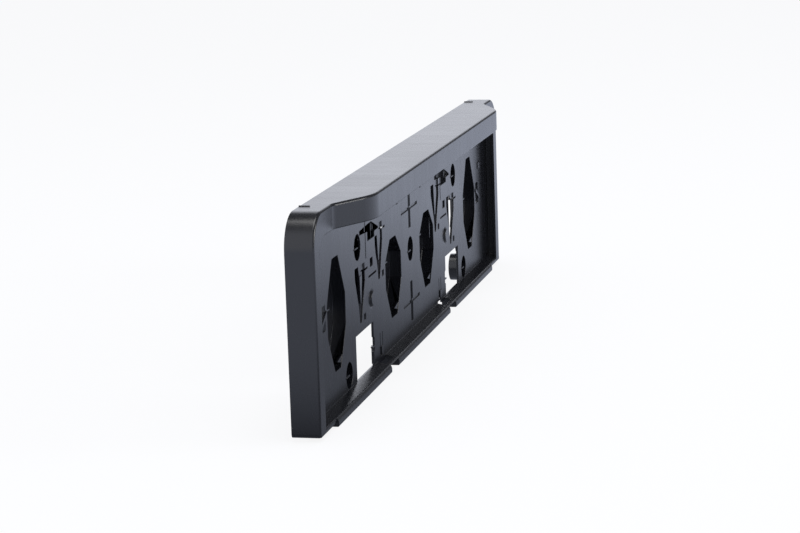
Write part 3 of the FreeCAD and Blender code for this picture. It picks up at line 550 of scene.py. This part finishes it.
@dataclass
class CupBars:
    """A short round bar that stands into each screw cup from its left wall."""

    places_mm: tuple[tuple[float, float], ...] = (
        (0.0, 57.6), (-139.7, 84.6), (139.7, 84.6), (-168.2, 14.6), (168.2, 14.6))
    cup_radius_mm: float = 7.8
    sunk_mm: float = 0.6
    length_mm: float = 9.0
    radius_mm: float = 0.65
    depth_mm: float = 7.56
    dome_power: int = 6
    end_share: float = 0.02
    around: int = 16
    along: int = 8

    def bar_points(self, x: float, z: float) -> np.ndarray:
        """Points of one bar: a circle carried along X that closes to a small dome at its end.

        Each station has a share that rises evenly from zero to one. It lies as far from the start,
        inside the cup's wall, as the bar's length times the sine of its share of a quarter turn.
        Its radius is the bar's radius times the root of one less its share to the dome's power,
        and at least the end share of the bar's radius.

        Args:
            x: The cup's centre across.
            z: The bar's height.

        Returns:
            The grid of points, stations by circle points by three, in metres.
        """
        share = np.linspace(0.0, 1.0, self.along)
        start = x - self.cup_radius_mm - self.sunk_mm
        stations = start + self.length_mm * np.sin(share * np.pi / 2)
        falling = np.clip(1.0 - share ** self.dome_power, self.end_share ** 2, 1.0)
        radii = self.radius_mm * np.sqrt(falling)
        turn = np.linspace(0.0, 2 * np.pi, self.around, endpoint=False)
        grid = np.empty((self.along, self.around, 3))
        grid[..., 0] = stations[:, None]
        grid[..., 1] = self.depth_mm + radii[:, None] * np.cos(turn)
        grid[..., 2] = z + radii[:, None] * np.sin(turn)
        return grid * MM

    def build(self, material: bpy.types.Material) -> bpy.types.Object:
        """Build all bars as one piece of the moulding.

        Args:
            material: The moulding's plastic.

        Returns:
            The piece.
        """
        points = []
        faces = []
        ring = np.arange(self.around)
        following = (ring + 1) % self.around
        for index, (x, z) in enumerate(self.places_mm):
            first = index * self.along * self.around
            last = first + (self.along - 1) * self.around
            points.append(self.bar_points(x, z).reshape(-1, 3))
            for low in range(first, last, self.around):
                high = low + self.around
                quads = [low + ring, high + ring, high + following, low + following]
                faces.extend(np.stack(quads, 1).tolist())
            faces.append((first + ring).tolist())
            faces.append((last + ring[::-1]).tolist())
        mesh = bpy.data.meshes.new("cup_bars")
        mesh.from_pydata(np.concatenate(points).tolist(), [], faces)
        mesh.shade_smooth()
        mesh.materials.append(material)
        piece = bpy.data.objects.new("cup_bars", mesh)
        bpy.context.scene.collection.objects.link(piece)
        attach(piece, "root")
        return piece


@dataclass(frozen=True)
class PhotoCamera:
    """The camera at the photograph's place: a long lens past the holder's left end."""

    place_mm: tuple[float, float, float] = (-1512.6, -337.85, 339.1)
    yaw_degrees: float = 13.11
    pitch_degrees: float = -10.66
    roll_degrees: float = -1.86
    lens_mm: float = 110.54
    sensor_mm: float = 36.0
    sight_m: float = 50.0

    def build(self) -> bpy.types.Object:
        """Set up the scene's camera from its place and its three turns.

        Returns:
            The camera.
        """
        turns = (self.yaw_degrees, self.pitch_degrees, self.roll_degrees)
        yaw, pitch, roll = (math.radians(turn) for turn in turns)
        forward = Vector((math.cos(yaw) * math.cos(pitch), math.sin(yaw) * math.cos(pitch),
                          math.sin(pitch)))
        level = Vector((math.sin(yaw), -math.cos(yaw), 0.0))
        above = level.cross(forward)
        right = level * math.cos(roll) + above * math.sin(roll)
        up = above * math.cos(roll) - level * math.sin(roll)
        data = bpy.data.cameras.new("photo_camera")
        data.lens = self.lens_mm
        data.sensor_width = self.sensor_mm
        data.clip_end = self.sight_m
        camera = bpy.data.objects.new("photo_camera", data)
        turned = Matrix((right, up, -forward)).transposed().to_4x4()
        camera.matrix_world = Matrix.Translation(Vector(self.place_mm) * MM) @ turned
        bpy.context.scene.collection.objects.link(camera)
        bpy.context.scene.camera = camera
        return camera


@dataclass(frozen=True)
class SoftLamp:
    """A square soft lamp that looks at the holder's middle, in metres and watts."""

    name: str
    place: tuple[float, float, float]
    size: float
    power: float
    target: tuple[float, float, float] = (0.0, 0.0, 0.06)

    def build(self) -> bpy.types.Object:
        """Hang the lamp and turn it to its target.

        Returns:
            The lamp.
        """
        data = bpy.data.lights.new(self.name, "AREA")
        data.size = self.size
        data.energy = self.power
        lamp = bpy.data.objects.new(self.name, data)
        lamp.location = self.place
        aim = Vector(self.target) - Vector(self.place)
        lamp.rotation_euler = aim.to_track_quat("-Z", "Y").to_euler()
        bpy.context.scene.collection.objects.link(lamp)
        return lamp


@dataclass(frozen=True)
class WhiteWall:
    """A bright stretch of the room's wall, seen in a direction and soft towards its rim."""

    towards: tuple[float, float, float]
    inner_degrees: float
    outer_degrees: float
    strength: float


@dataclass
class Studio:
    """The pale floor, the surroundings and the soft lamps, in metres."""

    floor_size: float = 12.0
    floor_finish: PaleSweep = field(default_factory=PaleSweep)
    ambient: float = 0.68
    mirrored: float = 0.16
    room_colour: str = "F2F5FF"
    walls: tuple[WhiteWall, ...] = (
        WhiteWall((0.93, 0.32, 0.19), 16.0, 26.0, 1.36),
        WhiteWall((-0.955, 0.2, 0.1), 40.0, 70.0, 1.0),
    )
    lamps: tuple[SoftLamp, ...] = (
        SoftLamp("overhead_lamp", (-0.2, -0.1, 1.8), 1.0, 13.0),
        SoftLamp("front_lamp", (0.3, -2.0, 0.7), 0.9, 16.0),
    )

    def build_floor(self) -> bpy.types.Object:
        """Lay the floor under the holder's lowest edge.

        Returns:
            The floor.
        """
        half = self.floor_size / 2
        level = cad_box[0][2]
        corners = [(x * half, y * half, level) for x, y in ((-1, -1), (1, -1), (1, 1), (-1, 1))]
        mesh = bpy.data.meshes.new("floor")
        mesh.from_pydata(corners, [], [(0, 1, 2, 3)])
        mesh.materials.append(self.floor_finish.build())
        floor = bpy.data.objects.new("floor", mesh)
        bpy.context.scene.collection.objects.link(floor)
        return floor

    def build_world(self) -> None:
        """Surround the scene with a dim room that has white walls at two sides.

        The light that the room gives is even. The walls show only where the plastic mirrors them.
        """
        world = bpy.data.worlds.new("studio_room")
        world.use_nodes = True
        tree = world.node_tree
        tree.nodes.clear()
        path = add_node(tree, "LightPath")
        direction = add_node(tree, "TexCoord").outputs[Coordinates.DIRECTION.value]
        level = self.mirrored
        for wall in self.walls:
            towards = Vector(wall.towards).normalized()
            facing = add_node(tree, "VectorMath", {0: direction, 1: towards},
                              operation="DOT_PRODUCT")
            bright = add_node(tree, "MapRange", {
                "Value": facing.outputs["Value"],
                "From Min": math.cos(math.radians(wall.outer_degrees)),
                "From Max": math.cos(math.radians(wall.inner_degrees)),
                "To Max": wall.strength}, interpolation_type="SMOOTHSTEP")
            level = add_node(tree, "Math", {0: level, 1: bright.outputs["Result"]},
                             operation="ADD").outputs[0]
        colour = linear(self.room_colour)
        room = add_node(tree, "Background", {"Color": colour, "Strength": self.ambient})
        mirrored = add_node(tree, "Background", {"Color": colour, "Strength": level})
        seen = add_node(tree, "Background", {"Color": WHITE, "Strength": 1.0})
        inner = add_node(tree, "MixShader", {
            0: path.outputs["Is Glossy Ray"], 1: room.outputs[0], 2: mirrored.outputs[0]})
        outer = add_node(tree, "MixShader", {
            0: path.outputs["Is Camera Ray"], 1: inner.outputs[0], 2: seen.outputs[0]})
        add_node(tree, "OutputWorld", {"Surface": outer.outputs[0]})
        bpy.context.scene.world = world

    def build(self) -> None:
        """Build the floor, the surroundings and the lamps."""
        self.build_floor()
        self.build_world()
        for lamp in self.lamps:
            lamp.build()
        bpy.context.scene.view_settings.view_transform = "Standard"


def main() -> None:
    """Build the studio, the camera and the holder, and report each piece."""
    logging.basicConfig(level=logging.INFO, format="%(name)s: %(message)s")
    Studio().build()
    PhotoCamera().build()
    holder = Moulding().build()
    plastic = holder.data.materials[0]
    for piece in (holder, BackWalls().build(plastic), CupBars().build(plastic)):
        log.info("built %s with %d faces", piece.name, len(piece.data.polygons))


if __name__ == "__main__":
    main()
